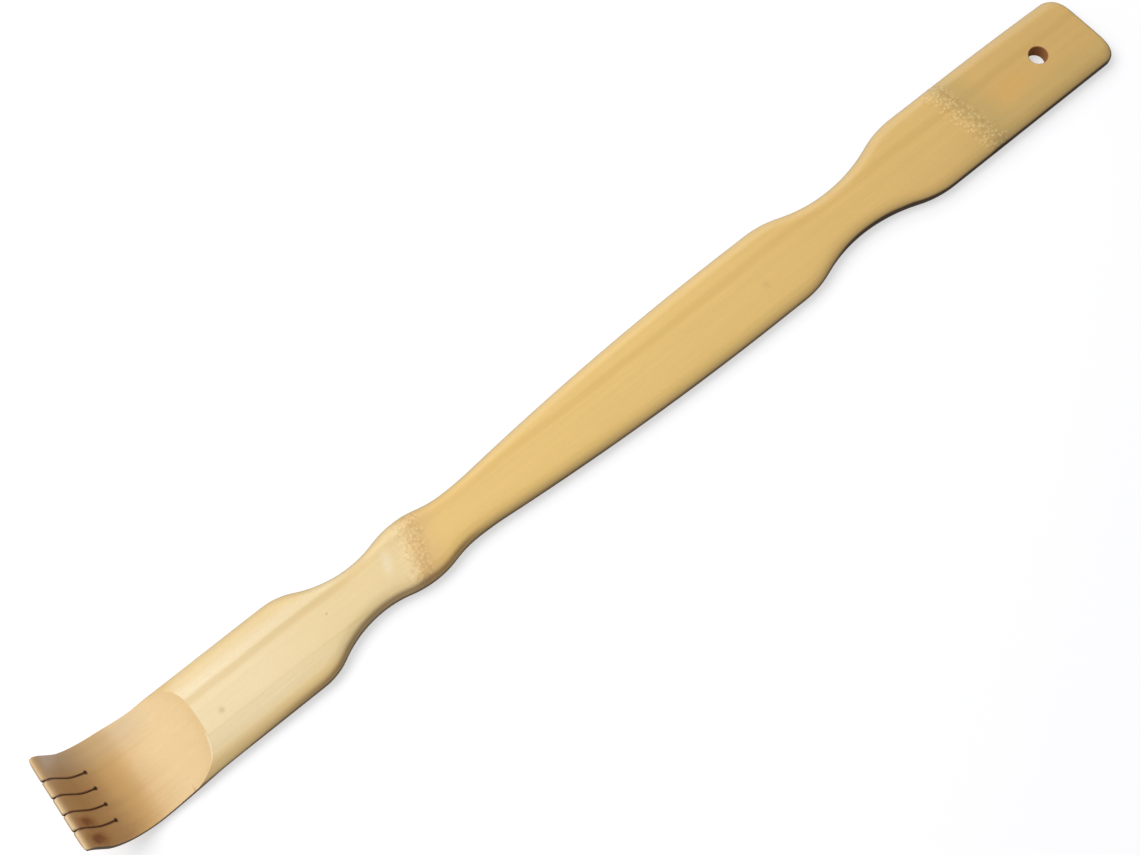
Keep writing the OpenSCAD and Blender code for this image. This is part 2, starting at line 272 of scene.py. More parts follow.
# The claw's rims: points to merge, the strip along each side, what stays clear above and at the roots
MERGE_WITHIN = 0.1 * MM
RIM_STRIP = 1 * MM
RIM_CLEAR = 0.4 * MM
ROOT_CLEAR = 0.02 * MM
RIM_TURN = math.radians(40)

# The scoop's edge: how sharp it is, and how the floor and the face beside it lean
EDGE_TURN = math.radians(9)
FLOOR_LEAN = -0.05
FACE_LEAN = 0.02

# Edges that turn less than this are shaded smooth
SMOOTH_TURN = math.radians(35)

# The stage
FLOOR_SIZE = 8
FLOOR_DROP = 0.1 * MM
FILM_WIDTH = 36
NEAREST = 0.01


def clamp(value):
    """A value held between 0 and 1"""
    return min(max(value, 0), 1)


def arc_radius(run, rise):
    """Radius of an arc that starts level and rises so far over a run"""
    return (run * run + rise * rise) / (2 * rise)


def quarter(step):
    """Angles of a quarter turn, in even steps of degrees"""
    return [math.radians(a) for a in range(0, 91, step)]


def draw_back(past, radius):
    """How far a quarter-round draws back, at a distance past its start"""
    return radius - math.sqrt(max(radius * radius - past * past, 0)) if past > 0 else 0


def spread(start, end, step):
    """Evenly spaced places from start to end, no more than a step apart"""
    count = math.ceil(abs(end - start) / step - 1e-6)
    return [start + (end - start) * i / count for i in range(count + 1)]


def ease(past, run):
    """A smooth fall from 1 to 0 over a run"""
    return (1 + math.cos(math.pi * clamp(past / run))) / 2


class Plan:
    """Places along the slat, measured from the start of the bend and negative towards the tips"""

    slit_count = 4

    def __init__(self, sizes):
        self.size = sizes
        self.slant = math.tan(sizes.bend_slant)
        self.bend = sizes.bend_radius * sizes.bend_angle
        self.tip = -(self.bend + sizes.tip_run)
        self.root = self.tip + sizes.finger
        square = sizes.bend_radius * math.sin(sizes.bend_angle) + sizes.tip_run * math.cos(sizes.bend_angle)
        corner = sizes.head / 2 - SOLID_TIP_CORNER - sizes.under_round_w
        reach = square * math.cos(sizes.bend_slant)
        reach += (corner - self.tip * math.sin(sizes.bend_slant)) * self.slant
        self.bend_x = reach - sizes.total / 2
        self.shoulder = sizes.scoop + sizes.palm
        self.lower_ring = self.shoulder + sizes.palm_neck + sizes.neck_ring
        self.end = sizes.total - reach - (sizes.tab / 2 - sizes.tab_corner) * math.tan(sizes.tab_slant)
        self.hole = self.end - sizes.hole_back
        self.upper_ring = self.end - sizes.upper_ring_back
        self.tab_start = self.upper_ring + sizes.ring_length / 2
        grip_thin = self.lower_ring + sizes.ring_grip
        grip_wide = self.end - sizes.tab_length - sizes.waist_tab - sizes.grip_waist - sizes.grip_flat
        # Each side curve's run, the width at its end and the radius of its first arc
        self.outline = [
            (self.shoulder, sizes.head, 0),
            (sizes.palm_neck, sizes.neck, sizes.palm_shoulder),
            (sizes.neck_ring, sizes.lower_ring, sizes.neck_radius),
            (sizes.ring_grip, sizes.grip_thin, sizes.lower_ring_radius),
            (grip_wide - grip_thin, sizes.grip, sizes.grip_thin_radius),
            (sizes.grip_flat, sizes.grip, 0),
            (sizes.grip_waist, sizes.waist, sizes.grip_shoulder),
            (sizes.waist_tab, sizes.tab, sizes.waist_radius),
        ]

    def half_width(self, s):
        """Half the slat's width, from side curves of two arcs that meet smoothly"""
        start, width = 0, self.size.head
        for run, next_width, first in self.outline:
            if s <= start + run:
                rise = abs(next_width - width) / 2
                if s <= start or rise == 0:
                    return width / 2
                both = arc_radius(run, rise)
                first = min(first, ARC_SHARE * both)
                along = s - start
                if along < run * first / both:
                    up = first - math.sqrt(first * first - along * along)
                else:
                    second = both - first
                    up = rise - second + math.sqrt(second * second - (run - along) ** 2)
                return width / 2 + math.copysign(up, next_width - width)
            start, width = start + run, next_width
        return width / 2

    def swell(self, s, most, run):
        """How far one side of the claw stands out"""
        crest = -self.bend / 4
        return most * ease(abs(s - crest), run if s > crest else crest - self.tip)

    def sides(self, s):
        """Places of the slat's right and left sides"""
        size, half = self.size, self.half_width(s)
        taper = size.tab_taper * max((s - self.tab_start) / (self.end - self.tab_start), 0) ** 2
        return (-half - self.swell(s, size.right_swell, size.right_swell_run),
                half + self.swell(s, size.left_swell, size.left_swell_run) - taper)

    def scoop_radius(self):
        """Radius of the scoop's floor"""
        size = self.size
        return arc_radius(size.scoop - SCOOP_CLEAR, size.thickness - size.claw_thickness)

    def floor(self, s):
        """Floor of the scoop: an arc that is level where the bend starts, then a taper to the tips"""
        size = self.size
        if s < 0:
            return size.claw_thickness + (size.tip_thickness - size.claw_thickness) * s / self.tip
        radius = self.scoop_radius()
        return size.claw_thickness + radius - math.sqrt(radius * radius - s * s)

    def lift(self, z):
        """0 up to half the thickness, then up to 1 at the upper face"""
        middle = self.size.thickness / 2
        return clamp((z - middle) / middle)

    def x(self, s):
        """Place along X of a square section of the straightened slat"""
        return self.bend_x + (s / math.cos(self.size.bend_slant) if s < 0 else s)

    def slat_section(self, s):
        """The whole slat's section"""
        size = self.size
        right, left = self.sides(s)
        corner = draw_back(s - self.end + size.tab_corner, size.tab_corner)
        low = draw_back(s - self.end + size.tab_end_round, size.tab_end_round)
        high = size.thickness - low
        wall = ROUND_SHARE * (high - low)
        upper = (size.upper_round_w, min(size.upper_round_h, wall))
        under_wall = ROUND_SHARE * min(high, self.floor(s)) if s < size.scoop else wall
        under = (size.under_round_w, min(size.under_round_h, under_wall))
        return Section(self.x(s), right + corner, left - corner, low, high, under, upper, upper, under)

    def finger_section(self, s, number):
        """One finger's section, counted from the right side"""
        size = self.size
        last = self.slit_count + 1
        right, left = self.sides(s)
        half_slit = (size.slit_tip + (size.slit - size.slit_tip) * (s - self.tip) / size.finger) / 2
        half_slit = max(half_slit, math.sqrt(max(size.slit_root ** 2 - (s - self.root) ** 2, 0)))
        right = self.slit_at(number - 1, s) + half_slit if number > 1 else right
        left = self.slit_at(number, s) - half_slit if number < last else left
        inset = draw_back(self.tip + size.tip_corner - s, size.tip_corner)
        low = draw_back(self.tip + size.tip_ease - s, size.tip_ease)
        nose = draw_back(self.tip + size.tip_nose_run - s, size.tip_nose_run) / size.tip_nose_run
        high = self.floor(s) - nose * size.tip_nose
        wall = ROUND_SHARE * (high - low)
        small = (size.slit_round, min(size.slit_round, wall))
        wide = (size.under_round_w, min(size.under_round_h, wall))
        return Section(self.x(s), right + inset, left - inset, low, high,
                       wide if number == last else small, small, small, wide if number == 1 else small)

    def slit_at(self, number, s):
        """Place of a slit across the head, with the wander of a hand-sawn cut"""
        size = self.size
        wander = size.slit_wander * math.sin((s - self.root) / WANDER_RUN + WANDER_TURN * number)
        return size.slit_pitch * (number - (self.slit_count + 1) / 2) - size.slit_shift + wander


def corners(section):
    """The four rounded corners of a section: under left, upper left, upper right and under right"""
    found = []
    for side, level, (reach, height) in ((1, -1, section.under_left), (1, 1, section.upper_left),
                                         (-1, 1, section.upper_right), (-1, -1, section.under_right)):
        y = section.left - reach if side > 0 else section.right + reach
        z = section.high - height if level > 0 else section.low + height
        found.append(Corner(side, level, y, z, reach, height))
    return found


# Modelling

def only(piece):
    """Leaves one piece selected and active"""
    bpy.ops.object.select_all(action="DESELECT")
    piece.select_set(True)
    bpy.context.view_layer.objects.active = piece


def pick(piece, points):
    """Selects just these points of the piece in edit mode"""
    bpy.ops.mesh.select_all(action="DESELECT")
    for point in points:
        point.select = True
    bmesh.from_edit_mesh(piece.data).select_flush(True)


def pick_edges(piece, wanted):
    """Selects just the wanted edges of the piece in edit mode"""
    mesh = bmesh.from_edit_mesh(piece.data)
    bpy.ops.mesh.select_mode(type="EDGE")
    bpy.ops.mesh.select_all(action="DESELECT")
    for edge in mesh.edges:
        edge.select = wanted(edge)
    mesh.select_flush_mode()


def pull(x, y, z):
    """Extrudes what is selected"""
    bpy.ops.mesh.extrude_region_move(TRANSFORM_OT_translate={"value": (x, y, z)})


def close_up():
    """Turns all faces outwards and leaves edit mode"""
    bpy.ops.mesh.select_all(action="SELECT")
    bpy.ops.mesh.normals_make_consistent(inside=False)
    bpy.ops.object.mode_set(mode="OBJECT")


def modify(piece, kind, **settings):
    """Gives a piece a modifier and applies it"""
    only(piece)
    bpy.ops.object.modifier_add(type=kind)
    modifier = piece.modifiers[-1]
    for name, value in settings.items():
        setattr(modifier, name, value)
    bpy.ops.object.modifier_apply(modifier=modifier.name)


def follow(piece, ring, old, new):
    """Moves a fresh ring's corners and upper flat from the old section to the new one"""
    moved = False
    before, after = corners(old), corners(new)
    groups = [[p for p in ring if (p.co.y - c.y) * c.side > 0 and (p.co.z - c.z) * c.level > 0]
              for c in before]
    (old_left, old_right), (new_left, new_right) = ([c.y for c in found[1:3]] for found in (before, after))
    flat = [p for p in ring if old_right < p.co.y < old_left and p.co.z > (old.low + old.high) / 2]
    for c, d, group in zip(before, after, groups):
        stretch = (1, d.reach / c.reach, d.height / c.height)
        shift = (0, d.y - c.y, d.z - c.z)
        stretched = max(abs(v - 1) for v in stretch) > SAME_SIZE
        if not stretched and max(map(abs, shift)) < SAME_PLACE:
            continue
        pick(piece, group)
        if stretched:
            bpy.ops.transform.resize(value=stretch, center_override=(new.x, c.y, c.z))
        bpy.ops.transform.translate(value=shift)
        moved = True
    if flat and moved:
        pick(piece, flat)
        wide = (new_left - new_right) / (old_left - old_right)
        middle = (old_left + old_right) / 2
        bpy.ops.transform.resize(value=(1, wide, 1), center_override=(new.x, middle, old.high))
        bpy.ops.transform.translate(value=(0, (new_left + new_right) / 2 - middle, new.high - old.high))
    if moved:
        pick(piece, ring)


def shape(name, sections, round_cuts=ROUND_CUTS, flat_cuts=FLAT_CUTS):
    """Opens a circle out to the first section and extrudes it from section to section"""
    bpy.ops.object.select_all(action="DESELECT")
    bpy.ops.mesh.primitive_circle_add(vertices=4 * round_cuts, radius=1, fill_type="NGON",
                                      rotation=(0, math.pi / 2, 0))
    piece = bpy.context.object
    piece.name = piece.data.name = name
    bpy.ops.object.transform_apply(location=False, rotation=True, scale=False)
    bpy.ops.object.mode_set(mode="EDIT")
    bpy.ops.transform.rotate(value=math.pi / (4 * round_cuts), orient_axis="X", center_override=(0, 0, 0))
    mesh = bmesh.from_edit_mesh(piece.data)
    first = sections[0]
    groups = [(c, [p for p in mesh.verts if p.co.y * c.side > 0 and p.co.z * c.level > 0])
              for c in corners(first)]
    for c, group in groups:
        pick(piece, group)
        bpy.ops.transform.resize(value=(1, c.reach, c.height), center_override=(0, 0, 0))
        bpy.ops.transform.translate(value=(first.x, c.y, c.z))
    pick(piece, [max(group, key=lambda p: p.co.z) for c, group in groups if c.level > 0])
    bpy.ops.mesh.subdivide(number_cuts=flat_cuts)
    count = len(mesh.verts)
    pick(piece, mesh.verts)
    for old, new in zip(sections, sections[1:]):
        pull(new.x - old.x, 0, 0)
        follow(piece, mesh.verts[-count:], old, new)
    close_up()
    return piece


def cut(piece, cutter):
    """Cuts a solid away from a piece"""
    modify(piece, "BOOLEAN", operation="DIFFERENCE", solver="EXACT", object=cutter)
    bpy.data.objects.remove(cutter, do_unlink=True)


def scoop_cutter(plan):
    """A block whose underside is the scoop's floor"""
    size = plan.size
    places = [plan.root - OVERHANG] + spread(plan.root, size.scoop, CLAW_STEP) + [size.scoop + OVERHANG]
    bpy.ops.object.select_all(action="DESELECT")
    bpy.ops.mesh.primitive_plane_add(size=1)
    cutter = bpy.context.object
    bpy.ops.object.mode_set(mode="EDIT")
    first, second = plan.x(places[0]), plan.x(places[1])
    bpy.ops.transform.resize(value=(second - first, 2 * size.head, 1), center_override=(0, 0, 0))
    bpy.ops.transform.translate(value=((first + second) / 2, 0, plan.floor(places[0])))
    mesh = bmesh.from_edit_mesh(cutter.data)
    for s, t in zip(places[1:], places[2:]):
        far = max(p.co.x for p in mesh.verts)
        pick(cutter, [p for p in mesh.verts if p.co.x > far - HAIR])
        pull(plan.x(t) - plan.x(s), 0, plan.floor(t) - plan.floor(s))
    pick_edges(cutter, lambda edge: abs(edge.verts[0].co.x - edge.verts[1].co.x) < HAIR)
    bpy.ops.mesh.subdivide(number_cuts=SCOOP_CUTS)
    bpy.ops.mesh.select_mode(type="VERT")
    bpy.ops.mesh.select_all(action="SELECT")
    pull(0, 0, 3 * size.thickness)
    close_up()
    return cutter


def hole_cutter(plan):
    """A plug that swells out at both ends, for a drilled hole with eased rims"""
    size = plan.size
    x, y, radius, soft = plan.x(plan.hole), size.hole_side, size.hole / 2, size.hole_ease
    low = [(soft * (1 - math.sin(a)), soft * (1 - math.cos(a))) for a in quarter(HOLE_TURN)]
    levels = [(radius + 2 * soft, -soft)] + [(radius + out, up) for out, up in low]
    levels += [(r, size.thickness - z) for r, z in reversed(levels)]
    bpy.ops.object.select_all(action="DESELECT")
    bpy.ops.mesh.primitive_circle_add(vertices=HOLE_CUTS, radius=levels[0][0], fill_type="NGON",
                                      location=(x, y, levels[0][1]))
    cutter = bpy.context.object
    bpy.ops.object.transform_apply(location=True, rotation=False, scale=False)
    bpy.ops.object.mode_set(mode="EDIT")
    bpy.ops.mesh.select_all(action="SELECT")
    for (r0, z0), (r1, z1) in zip(levels, levels[1:]):
        pull(0, 0, z1 - z0)
        bpy.ops.transform.resize(value=(r1 / r0, r1 / r0, 1), center_override=(x, y, z1))
    close_up()
    return cutter


def root_hole_cutter(plan, number):
    """A plug for the small hole at the root of a slit"""
    bpy.ops.object.select_all(action="DESELECT")
    bpy.ops.mesh.primitive_cylinder_add(vertices=ROOT_HOLE_CUTS, radius=plan.size.slit_root,
                                        depth=ROOT_HOLE_DEPTH,
                                        location=(plan.x(plan.root), plan.slit_at(number, plan.root), 0))
    return bpy.context.object


def soften(piece, plan):
    """Rounds the claw's side rims below the rounding of its face, and keeps the scoop's edge crisp"""
    size = plan.size
    start, beside = plan.x(plan.root) + ROOT_CLEAR, size.head / 2 - RIM_STRIP
    below = size.thickness - size.upper_round_h - RIM_CLEAR

    def side_rim(edge):
        at_side = all(abs(p.co.y) > beside and p.co.z < below for p in edge.verts)
        past_root = max(p.co.x for p in edge.verts) > start
        return at_side and past_root and edge.calc_face_angle(0) > RIM_TURN

    def scoop_edge(edge):
        leans = sorted(face.normal.x for face in edge.link_faces)
        return edge.calc_face_angle(0) > EDGE_TURN and leans[0] < FLOOR_LEAN and abs(leans[-1]) < FACE_LEAN

    only(piece)
    bpy.ops.object.mode_set(mode="EDIT")
    bpy.ops.mesh.select_all(action="SELECT")
    bpy.ops.mesh.remove_doubles(threshold=MERGE_WITHIN)
    pick_edges(piece, side_rim)
    bpy.ops.mesh.bevel(offset=size.slit_round, segments=3, affect="EDGES", clamp_overlap=True)
    pick_edges(piece, scoop_edge)
    bpy.ops.mesh.mark_sharp()
    bpy.ops.mesh.select_mode(type="VERT")
    bpy.ops.object.mode_set(mode="OBJECT")


def camber(piece, plan):
    """Lets the upper face fall away towards the sides, as the culm was round"""
    size = plan.size
    for point in piece.data.vertices:
        fall = size.camber * (abs(point.co.y) / size.camber_at) ** 3
        fall *= (1 + ease(point.co.x - plan.x(size.scoop), size.camber_run)) / 2
        point.co.z -= fall * plan.lift(point.co.z)


def raise_rings(piece, plan):
    """Lifts the upper face along both culm rings, which cross the slat on a slant"""
    size = plan.size
    rings = ((plan.x(plan.lower_ring), size.lower_slant), (plan.x(plan.upper_ring), size.upper_slant))
    for point in piece.data.vertices:
        lift = plan.lift(point.co.z)
        for x, slant in rings:
            past = abs(point.co.x - x - slant * point.co.y)
            point.co.z += size.ring_rise * lift * ease(past, size.ring_length / 2)


def slant_sections(piece, plan):
    """Turns the square sections to the slant of the bend, up to the shoulder, and to that of the tab's end"""
    size = plan.size
    for point in piece.data.vertices:
        s = point.co.x - plan.bend_x
        head = (plan.shoulder - s) / size.palm
        tail = (s - plan.tab_start) / (plan.end - size.tab_corner - plan.tab_start)
        slant = size.bend_slant * clamp(head) - size.tab_slant * clamp(tail)
        point.co.x += point.co.y * math.tan(slant)


def slat_length(name, plan, places):
    """A length of the slat, from the first place to the last"""
    piece = shape(name, [plan.slat_section(s) for s in places])
    camber(piece, plan)
    raise_rings(piece, plan)
    slant_sections(piece, plan)
    return piece


def keep_flat(piece):
    """Notes every point's place before the bend, for fibres that follow it"""
    places = piece.data.attributes.new("flat", "FLOAT_VECTOR", "POINT")
    for point, place in zip(piece.data.vertices, places.data):
        place.vector = point.co


def bend(piece, plan):
    """Rolls the thin end up about the slanted axis of the bend"""
    size = plan.size
    cos, sin = math.cos(size.bend_slant), math.sin(size.bend_slant)
    places = [(p.co.x - plan.bend_x) * cos - p.co.y * sin for p in piece.data.vertices]
    low, high = min(places), max(places)
    start, stop = max(-plan.bend, low), min(0, high)
    bpy.ops.object.empty_add(location=(plan.bend_x, 0, 0), rotation=(math.pi / 2, 0, -size.bend_slant))
    former = bpy.context.object
    modify(piece, "SIMPLE_DEFORM", deform_method="BEND", deform_axis="Z", origin=former,
           limits=((start - low) / (high - low), (stop - low) / (high - low)),
           angle=(stop - start) / size.bend_radius)
    bpy.data.objects.remove(former, do_unlink=True)


def roll_up(piece, plan):
    """Slants a straight piece of the claw, notes where its points lie and bends it"""
    slant_sections(piece, plan)
    keep_flat(piece)
    bend(piece, plan)


def hand_over(piece, node, material):
    """Smooths a finished piece, gives it its finish and sets it in the place of its solid"""
    only(piece)
    bpy.ops.object.shade_smooth_by_angle(angle=SMOOTH_TURN)
    modify(piece, "WEIGHTED_NORMAL", keep_sharp=True)
    piece.data.materials.clear()
    piece.data.materials.append(material)
    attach(piece, "root")
    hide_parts(node)


# Finishes

# Sockets of a Mix node for colours
FACTOR, FIRST, SECOND, RESULT = 0, 6, 7, 2


def mm(metres):
    """A length in metres, or a thread of it, in millimetres"""
    return metres * 1000


def linear(colour):
    """A colour as written, turned to light values, while a thread stays as it is"""
    if isinstance(colour, Thread):
        return colour
    return [c / 12.92 if c <= 0.04045 else ((c + 0.055) / 1.055) ** 2.4 for c in colour] + [1]


class Thread:
    """A value that runs through a finish, on which sums add their own nodes"""

    def __init__(self, finish, socket):
        self.finish, self.socket = finish, socket

    def sum(self, operation, first, second):
        """Adds one Math node"""
        return self.finish.add("ShaderNodeMath", {"operation": operation}, {0: first, 1: second})

    def __add__(self, other):
        return self.sum("ADD", self, other)

    def __radd__(self, other):
        return self.sum("ADD", other, self)

    def __sub__(self, other):
        return self.sum("SUBTRACT", self, other)

    def __rsub__(self, other):
        return self.sum("SUBTRACT", other, self)

    def __mul__(self, other):
        return self.sum("MULTIPLY", self, other)

    def __rmul__(self, other):
        return self.sum("MULTIPLY", other, self)

    def __abs__(self):
        return self.sum("ABSOLUTE", self, 0)

    def root(self):
        """Its square root"""
        return self.sum("SQRT", self, 0)

    def at_least(self, low):
        """Itself, or low where that is higher"""
        return self.sum("MAXIMUM", self, low)

    def at_most(self, high):
        """Itself, or high where that is lower"""
        return self.sum("MINIMUM", self, high)

    def fold(self, step):
        """Runs to and fro between 0 and a step"""
        return self.sum("PINGPONG", self, step)


class Finish:
    """A material that is put together from nodes"""

    def __init__(self, name):
        self.material = bpy.data.materials.new(name)
        self.material.use_nodes = True
        self.tree = self.material.node_tree
        self.tree.nodes.clear()

    def add(self, kind, settings=None, sockets=None, out=0):
        """Adds a node of any kind: its settings first, then the values or links of its sockets.
        What comes back is the output that out names, or a list where it names several."""
        node = self.tree.nodes.new(kind)
        for name, value in (settings or {}).items():
            setattr(node, name, value)
        for name, value in (sockets or {}).items():
            if isinstance(value, Thread):
                self.tree.links.new(value.socket, node.inputs[name])
            else:
                node.inputs[name].default_value = value
        if isinstance(out, tuple):
            return [Thread(self, node.outputs[name]) for name in out]
        return Thread(self, node.outputs[out]) if node.outputs else node

    def smooth(self, value, low, high):
        """0 at low, 1 at high and a soft step between"""
        return self.add("ShaderNodeMapRange", {"interpolation_type": "SMOOTHSTEP"},
                        {"Value": value, "From Min": low, "From Max": high})

    def fade(self, value, low, high):
        """1 at low, 0 at high and a soft step between"""
        return self.smooth(value, high, low)

    def mix(self, factor, first, second):
        """From the first colour to the second"""
        return self.add("ShaderNodeMix", {"data_type": "RGBA"},
                        {FACTOR: factor, FIRST: linear(first), SECOND: linear(second)}, RESULT)

    def dim(self, colour, factor):
        """A colour made lighter or darker"""
        return self.add("ShaderNodeVectorMath", {"operation": "SCALE"}, {0: colour, "Scale": factor})

    def stain(self, factor, colour, stain):
        """A colour darkened by a stain"""
        return self.add("ShaderNodeMix", {"data_type": "RGBA", "blend_type": "MULTIPLY"},
                        {FACTOR: factor, FIRST: colour, SECOND: linear(stain)}, RESULT)

    def parts(self, vector):
        """The three parts of a place or direction"""
        return self.add("ShaderNodeSeparateXYZ", {}, {0: vector}, (0, 1, 2))

    def stretch(self, place, x, y, z, shift=0):
        """A place scaled by its own number of steps to the metre along each axis"""
        return self.add("ShaderNodeVectorMath", {"operation": "MULTIPLY_ADD"},
                        {0: place, 1: (x, y, z), 2: (shift, shift, shift)})

    def grain(self, place, x, y, z, detail=2.0, shift=0, out=0):
        """Soft noise from about -0.5 to 0.5, with its own number of steps to the metre along each axis"""
        noise = self.add("ShaderNodeTexNoise", {"noise_dimensions": "3D"},
                         {"Vector": self.stretch(place, x, y, z, shift), "Scale": 1.0, "Detail": detail,
                          "Roughness": 0.55}, out)
        return noise - 0.5 if out == 0 else noise

    def far(self, x, y):
        """Distance from a spot"""
        return self.add("ShaderNodeVectorMath", {"operation": "LENGTH"},
                        {0: self.add("ShaderNodeCombineXYZ", {}, {0: x, 1: y, 2: 0.0})}, "Value")

    def blot(self, x, y, reach, soft):
        """A round mark"""
        return self.fade(self.far(x, y), reach - soft, reach + soft)

    def close(self, colour, roughness, relief):
        """Joins the colour, the roughness and the relief in one surface"""
        normal = self.add("ShaderNodeBump", {}, {"Height": relief, "Strength": 0.4, "Distance": 0.1 * MM})
        skin = self.add("ShaderNodeBsdfPrincipled", {}, {"Base Color": colour, "Roughness": roughness,
                                                         "Normal": normal, "Specular IOR Level": 0.4})
        self.add("ShaderNodeOutputMaterial", {}, {"Surface": skin})
        return self.material


class Bamboo(Finish):
    """Bamboo whose fibres run along the slat, with places in millimetres.
    Bent pieces read the place that each point had before the bend."""

    def __init__(self, name, bent):
        super().__init__(name)
        self.plan = Plan(bpy.context.scene.scratcher_sizes)
        self.tone = bpy.context.scene.scratcher_colours
        self.bent = bent
        if bent:
            self.place = self.add("ShaderNodeAttribute", {"attribute_name": "flat"}, {}, "Vector")
        else:
            self.place = self.add("ShaderNodeTexCoord", {}, {}, "Object")
        self.x, self.y, self.z = (mm(part) for part in self.parts(self.place))
        self.facing = self.parts(self.add("ShaderNodeNewGeometry", {}, {}, "Normal"))
        plan, size = self.plan, self.plan.size
        self.lower = self.x - mm(plan.x(plan.lower_ring)) - self.y * size.lower_slant
        self.upper = self.x - mm(plan.x(plan.upper_ring)) - self.y * size.upper_slant
        self.threads = self.grain(self.place, 30, 2300, 2300, 3)
        self.bands = self.grain(self.place, 9, 420, 420, 2, 7.3)
        self.clouds = self.grain(self.place, 35, 90, 60, 2, 3.1)
        self.wander = self.grain(self.place, 28, 0, 0, 2, 11.7)
        self.sand = self.grain(self.place, 700, 1600, 1600, 3, 4.2)
        self.bundles = self.smooth(self.grain(self.place, 120, 5200, 5200, 1, 5.9), 0.12, 0.24)

    def long_tone(self):
        """Ground colour from the pale palm to the tan tab"""
        tone = self.tone
        colour = self.mix(self.smooth(self.x, -165, -112), tone.cream, tone.straw)
        colour = self.mix(self.smooth(self.lower + self.clouds * 8, -9, 12), colour, tone.gold)
        colour = self.mix(self.smooth(self.x, 10, 150), colour, tone.amber)
        return self.mix(self.smooth(self.x + self.clouds * 20, 148, 182), colour, tone.tan)

    def streaks(self, colour):
        """The long darker streak, the paler flank beside it, which is partly a painted sheen, and the head's
        duller sides
        """
        head = self.fade(self.x, -122, -92)
        line = self.y + self.wander * 2.4 - 6.0
        flecks = self.smooth(self.sand + self.clouds * 0.6, -0.05, 0.18)
        brim = self.smooth(self.y, 9, 14) * head
        # The pale flank: a paler tone with whitish flecks, partly a painted sheen
        pale = self.smooth(line, 0.8, 3.0) * head * (1 - brim * 0.8)
        colour = self.mix(pale * (0.3 + flecks * 0.4), colour, self.tone.sheen)
        colour = self.dim(self.mix(brim * 0.35, colour, self.tone.gold), 1 - brim * 0.04)
        colour = self.dim(colour, 1 - self.fade(self.y + self.wander * 2, -8.0, -6.0) * head * 0.03)
        colour = self.mix(self.fade(self.y, -16, -10) * head * 0.6, colour, self.tone.gold)
        streak = self.fade(abs(line), 0.4, 2.3)
        colour = self.stain(streak * (0.45 + head * 0.5), colour, self.tone.streak)
        thin = self.fade(abs(self.y + self.wander * 3 + 7.0), 0.1, 0.8)
        return self.stain(thin * head * self.smooth(self.bands, -0.1, 0.12) * 0.5, colour, self.tone.streak)

    def tab_clouds(self, colour):
        """Greyish clouds along the right side of the tab and a warm patch before the hole"""
        tab = self.smooth(self.x, 120, 185)
        colour = self.mix(self.smooth(self.clouds * 14 - self.y, 5, 14) * tab * 0.35, colour, self.tone.olive)
        patch = self.blot((self.x - 184) * 0.3 + self.clouds * 4, (self.y + 2) * 0.7 + self.bands * 3, 3, 2.5)
        return self.mix(patch * 0.6, colour, self.tone.warm)

    def culm_rings(self, colour):
        """The two speckled rings, where the cut fibres run out of the face.
        The colour comes back with the band that the rings cover and their relief."""
        tone = self.tone
        shake = self.grain(self.place, 900, 900, 0, 2, 8.8, "Color")
        shaken = self.add("ShaderNodeVectorMath", {"operation": "MULTIPLY_ADD"},
                          {0: shake, 1: (0.9, 0.9, 0.0), 2: self.stretch(self.place, 760, 900, 0)})
        near, kind = self.add("ShaderNodeTexVoronoi", {"voronoi_dimensions": "2D", "feature": "F1"},
                              {"Vector": shaken, "Scale": 1.0}, ("Distance", "Color"))
        kind = self.add("ShaderNodeSeparateColor", {}, {0: kind})
        mottle = self.grain(self.place, 420, 520, 0, 3, 1.7)
        lower, upper = self.lower + mottle * 7, self.upper + mottle * 7
        lower_band = self.smooth(lower, -7, -2.5) * self.fade(lower, 3.5, 5.5)
        upper_band = self.smooth(upper, -7, -3.5) * self.fade(upper, 2.5, 6.5)
        band = lower_band + upper_band
        seed = self.fade(near, 0.14, 0.46)
        pale = seed * self.smooth(kind, 0.25, 0.6)
        # Dark cell borders and dark cells: the rings' pits, partly painted shade between the small bumps
        pits = self.smooth(near, 0.4, 0.8) * 0.35 + seed * self.fade(kind, 0.06, 0.18) * 0.6
        warm = self.smooth(lower, -4, 1) * self.fade(self.lower + self.clouds * 6, 3, 13)
        colour = self.mix(warm * 0.6, colour, tone.ring)
        shade = self.smooth(self.upper, -4, 2) * self.fade(self.upper + self.clouds * 10, 5, 17)
        colour = self.mix(shade * 0.6, colour, tone.olive)
        colour = self.mix(band * pits * 0.55, colour, tone.pit_and_shade)
        colour = self.mix(band * pale * 0.6, colour, tone.dot)
        # Painted highlight: a pale patch on the claw side of the lower ring
        patch = self.blot((self.lower + 10.5) * 0.9, (self.y - 1.5) * 0.45, 1.5, 1.4)
        colour = self.mix(patch * 0.65, colour, tone.sheen)
        return colour, band, band * (pale * 0.8 - pits * 0.9)

    def specks(self, colour):
        """A few small brown specks"""
        marks = self.blot(self.x + 168.6, self.y + 2.7, 0.9, 0.9) * 0.5
        marks = marks + self.blot(self.x + 124.0, self.y - 0.9, 0.35, 0.25) * 0.7
        marks = marks + self.blot(self.x - 63.7, self.y + 3.8, 1.3, 1.2) * 0.25
        return self.mix(marks * self.smooth(self.z, 2, 4), colour, self.tone.speck)

    def scoop_floor(self, s):
        """Height of the scoop's floor, as in the plan"""
        plan, size = self.plan, self.plan.size
        radius, scoop = mm(plan.scoop_radius()), s.at_least(0.0)
        floor = mm(size.claw_thickness) + radius - (radius * radius - scoop * scoop).root()
        return floor - s.at_most(0.0) * ((size.claw_thickness - size.tip_thickness) / plan.tip)

